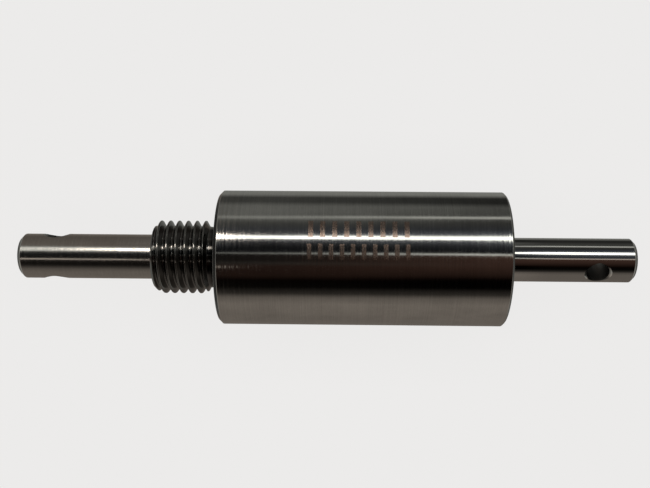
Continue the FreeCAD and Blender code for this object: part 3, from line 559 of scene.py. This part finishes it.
screw_front = rounded([
    (SCREW_FROM, 0.0), (SCREW_FROM, SCREW_END), (TRACK_FROM, SCREW), (TRACK_FROM + 0.2, SCREW),
], 0.1)
track_rows = [(x, SCREW, 0.0, 1.0) for x in np.arange(TRACK_FROM + 0.06, TRACK_TO, 0.12)]
track_back = rounded([(TRACK_TO, SCREW), (WAIST_AT, SCREW), (WAIST_AT, 0.0)], 0.1)
shaft_rows = rounded([
    (WAIST_AT, 0.0), (WAIST_AT, WAIST), (COLLAR_AT, WAIST), (COLLAR_AT, COLLAR),
    (COLLAR_AT + COLLAR_LONG, COLLAR), (COLLAR_AT + COLLAR_LONG, JOURNAL), (CIRCLIP_FROM, JOURNAL),
    (CIRCLIP_FROM, CIRCLIP), (CIRCLIP_TO, CIRCLIP), (CIRCLIP_TO, JOURNAL), (UNDERCUT_FROM, JOURNAL),
    (UNDERCUT_FROM, UNDERCUT), (UNDERCUT_TO, UNDERCUT), (UNDERCUT_TO, SHAFT),
    (SHAFT_TIP - SHAFT_EDGE, SHAFT), (SHAFT_TIP, SHAFT - SHAFT_EDGE), (SHAFT_TIP, 0.0),
], 0.14)
screw = drilled("shaft_ground", shaft_rows, 192,
                (SHAFT_TIP - SHAFT_HOLE_IN, SHAFT_HOLE_TILT, SHAFT, HOLE, HOLE_MOUTH))
dress(screw, "screw", "ball_screw", FINISH["shaft_steel"])
screw_rows = screw_front[:-2] + track_rows + track_back
track = lathe("screw_track", screw_rows, 96, shape=screw_shape, closed=False)
track.data.materials.append(FINISH["shaft_steel"])
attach(track, "screw")

# ---------------------------------------------------------------- studio
FLOOR_Z = CAD_BOX[0][2]
HALF = 3.0
PALE = (linear(236), linear(235), linear(234))

floor_mesh = bpy.data.meshes.new("floor")
corners = ((-HALF, -HALF), (HALF, -HALF), (HALF, HALF), (-HALF, HALF))
floor_mesh.from_pydata([(x, y, FLOOR_Z) for x, y in corners], [], [(0, 1, 2, 3)])
floor = bpy.data.objects.new("floor", floor_mesh)
bpy.context.scene.collection.objects.link(floor)
floor_paint = bpy.data.materials.new("floor_paint")
floor_paint.use_nodes = True
n = Nodes(floor_paint.node_tree)
# The floor's own glow is dimmed a little near the object by ambient occlusion: a painted contact shadow.
near = n.add("ShaderNodeAmbientOcclusion", {"Distance": 0.02}, samples=8).outputs["AO"]
painted_contact_shadow = n.remap(near, 0.0, 1.0, 0.95, 1.0)
glow = n.add("ShaderNodeEmission", {0: n.scaled(PALE, painted_contact_shadow), 1: 1.0})
n.add("ShaderNodeOutputMaterial", {0: glow.outputs[0]})
floor_mesh.materials.append(floor_paint)
floor.visible_glossy = False
floor.visible_diffuse = False

# What the metal mirrors, by angle round the X axis: 0 is overhead, +90 to the back, -90 to the front.
# This isn't plain studio light. Each stretch of the object mirrors its own set of strips in the main view,
# and the levels were tuned against brightness measured down the photograph.
# A stop is (angle, display level in polished steel, tone): grey-green, warm grey, brown or cold grey.
TINTS = ((0.99, 1.0, 0.92), (1.07, 0.94, 0.81), (1.27, 0.70, 0.52), (0.92, 1.0, 1.13))
STEEL = 0.58
GAIN = 8.0
ROD_SIDE = [
    (-180, 90, 1), (-130, 88, 1), (-92, 86, 1), (-72, 76, 1), (-64, 60, 1), (-54, 34, 1),
    (-46, 14, 1), (-34, 12, 1), (-27, 22, 1), (-18.5, 22, 1), (-17.3, 190, 1), (-15.1, 190, 1),
    (-13.5, 20, 0), (0, 14, 0), (14, 16, 3), (20, 46, 0), (24, 80, 0), (28, 176, 0),
    (43, 180, 0), (49, 88, 0), (56, 80, 1), (70, 78, 1), (100, 72, 1), (120, 70, 1),
    (150, 92, 1),
]
FAR_LEFT = [
    (-180, 90, 1), (-130, 90, 1), (-92, 88, 1), (-72, 76, 1), (-64, 60, 1), (-54, 34, 1),
    (-46, 14, 1), (-34, 12, 1), (-27, 22, 1), (-18.5, 22, 1), (-17.2, 150, 1), (-15.4, 150, 1),
    (-13.5, 20, 0), (0, 14, 0), (14, 14, 3), (20, 60, 3), (27, 100, 0), (30, 160, 1),
    (31.5, 620, 1), (39, 620, 1), (41, 120, 1), (46, 90, 0), (52, 82, 1), (70, 84, 1),
    (100, 78, 1), (120, 72, 1), (150, 100, 1),
]
LEFT = [
    (-180, 80, 1), (-118, 89, 1), (-85, 95, 1), (-71, 80, 1), (-63, 35, 1), (-51, 5, 1),
    (-38, 3, 2), (-30, 22, 2), (-14, 24, 2), (-9.4, 32, 1), (-5, 17, 1), (5.9, 17, 1),
    (6.5, 110, 0), (7.9, 110, 0), (8.5, 14, 3), (18, 12, 3), (25, 26, 3), (31, 66, 3),
    (32.8, 320, 0), (35.8, 320, 0), (37.3, 84, 3), (41, 46, 3), (48, 42, 3), (60, 54, 0),
    (67, 74, 0), (70.4, 112, 0), (73.0, 112, 0), (75.5, 82, 0), (98, 85, 0), (110, 52, 0),
    (125, 50, 0), (138, 98, 0),
]
RIGHT = [
    (-180, 80, 1), (-118, 90, 1), (-85, 96, 1), (-71, 81, 1), (-63, 37, 1), (-53, 14, 1),
    (-50, 0, 1), (-34, 0, 1), (-26, 26, 2), (-12, 40, 2), (1.5, 44, 2), (6.4, 50, 2),
    (7.0, 180, 0), (8.6, 180, 0), (9.8, 14, 3), (15, 18, 3), (22, 32, 3), (31, 70, 3),
    (33.6, 320, 0), (36.8, 320, 0), (39.5, 86, 3), (44, 60, 3), (50, 36, 3), (63, 44, 0),
    (70.6, 58, 0), (72.4, 158, 0), (75.2, 158, 0), (76.6, 56, 0), (97, 66, 0), (109, 28, 0),
    (126, 30, 0), (140, 104, 0),
]
SHAFT_SIDE = [
    (-180, 78, 1), (-118, 82, 1), (-85, 82, 1), (-71, 69, 1), (-63, 36, 1), (-55, 15, 1),
    (-48, 4, 1), (-36, 6, 2), (-26, 24, 2), (-14, 38, 2), (0, 46, 2), (3.4, 52, 2),
    (4.6, 160, 1), (6.6, 160, 1), (9, 46, 3), (13, 42, 3), (20, 48, 3), (28, 84, 3),
    (30.6, 320, 0), (39.4, 320, 0), (42, 104, 3), (46, 60, 3), (54, 40, 3), (64, 36, 0),
    (71, 56, 0), (73.3, 160, 0), (77.3, 160, 0), (80, 54, 0), (94, 50, 0), (106, 35, 0),
    (122, 30, 0), (145, 100, 0),
]
ENDS = [
    (-180, 105, 0), (-125, 120, 0), (-80, 130, 1), (-45, 75, 1), (-15, 50, 1), (8, 62, 0),
    (24, 92, 0), (32, 180, 0), (44, 180, 0), (52, 95, 0), (75, 105, 0), (100, 135, 0),
    (130, 100, 0),
]
# Where one side gives way to the next, by the X part of the mirrored ray's direction.
JOINS = ((-0.26, -0.21), (-0.19, -0.145), (-0.08, 0.2), (0.205, 0.235))
END_JOIN = (0.42, 0.62)


def lit(level, tone):
    """The light that polished steel shows at a display level, which may be over 255."""
    strength = linear(level) if level <= 255 else linear(255) * (level / 255) ** 2.4
    return tuple(strength / STEEL / GAIN * t for t in TINTS[tone])


world = bpy.data.worlds.new("studio")
bpy.context.scene.world = world
world.use_nodes = True
n = Nodes(world.node_tree)
ray = n.add("ShaderNodeTexCoord").outputs["Generated"]
along, across, up = n.split(ray)
share = n.math("ADD", n.times(n.math("ARCTAN2", across, up), 1 / TURN), 0.5)
sides = [n.ramp(share, [((a + 180) / 360, lit(level, tone)) for a, level, tone in stops])
         for stops in (ROD_SIDE, FAR_LEFT, LEFT, RIGHT, SHAFT_SIDE, ENDS)]
sky = sides[0]
for (low, high), side in zip(JOINS, sides[1:-1]):
    sky = n.mix(n.remap(along, low, high, 0.0, 1.0), sky, side)
sky = n.mix(n.remap(n.math("ABSOLUTE", along), *END_JOIN, 0.0, 1.0), sky, sides[-1])
studio = n.add("ShaderNodeBackground", {0: sky, 1: GAIN})
plain = n.add("ShaderNodeBackground", {0: (*PALE, 1.0), 1: 1.0})
path = n.add("ShaderNodeLightPath")
seen = path.outputs["Is Camera Ray"]
both = n.add("ShaderNodeMixShader", {0: seen, 1: studio.outputs[0], 2: plain.outputs[0]})
n.add("ShaderNodeOutputWorld", {0: both.outputs[0]})

# ---------------------------------------------------------------- camera
# Straight above the object, in millimetres: how high, and how far along X.
DISTANCE = 190.104
OVER = 26.67
LENS = 46.69
SENSOR = 36.0
FRAME_UP = 36 / 650
YAW, PITCH_DOWN, ROLL = (math.radians(v) for v in (-1.0, 1.49, -0.478))

yaw = Matrix(((math.cos(YAW), 0, math.sin(YAW)), (0, 1, 0), (-math.sin(YAW), 0, math.cos(YAW))))
pitch = Matrix(((1, 0, 0), (0, math.cos(PITCH_DOWN), -math.sin(PITCH_DOWN)),
                (0, math.sin(PITCH_DOWN), math.cos(PITCH_DOWN))))
roll = Matrix(((math.cos(ROLL), -math.sin(ROLL), 0), (math.sin(ROLL), math.cos(ROLL), 0), (0, 0, 1)))
turn = (roll @ pitch @ yaw).transposed().to_4x4()
camera_data = bpy.data.cameras.new("camera")
camera_data.sensor_width = SENSOR
camera_data.lens = LENS
camera_data.shift_y = FRAME_UP
camera_data.clip_start = 0.005
camera = bpy.data.objects.new("camera", camera_data)
camera.matrix_world = Matrix.Translation((OVER * MM, 0, DISTANCE * MM)) @ turn
bpy.context.scene.collection.objects.link(camera)
bpy.context.scene.camera = camera
bpy.context.scene.view_settings.view_transform = "Standard"
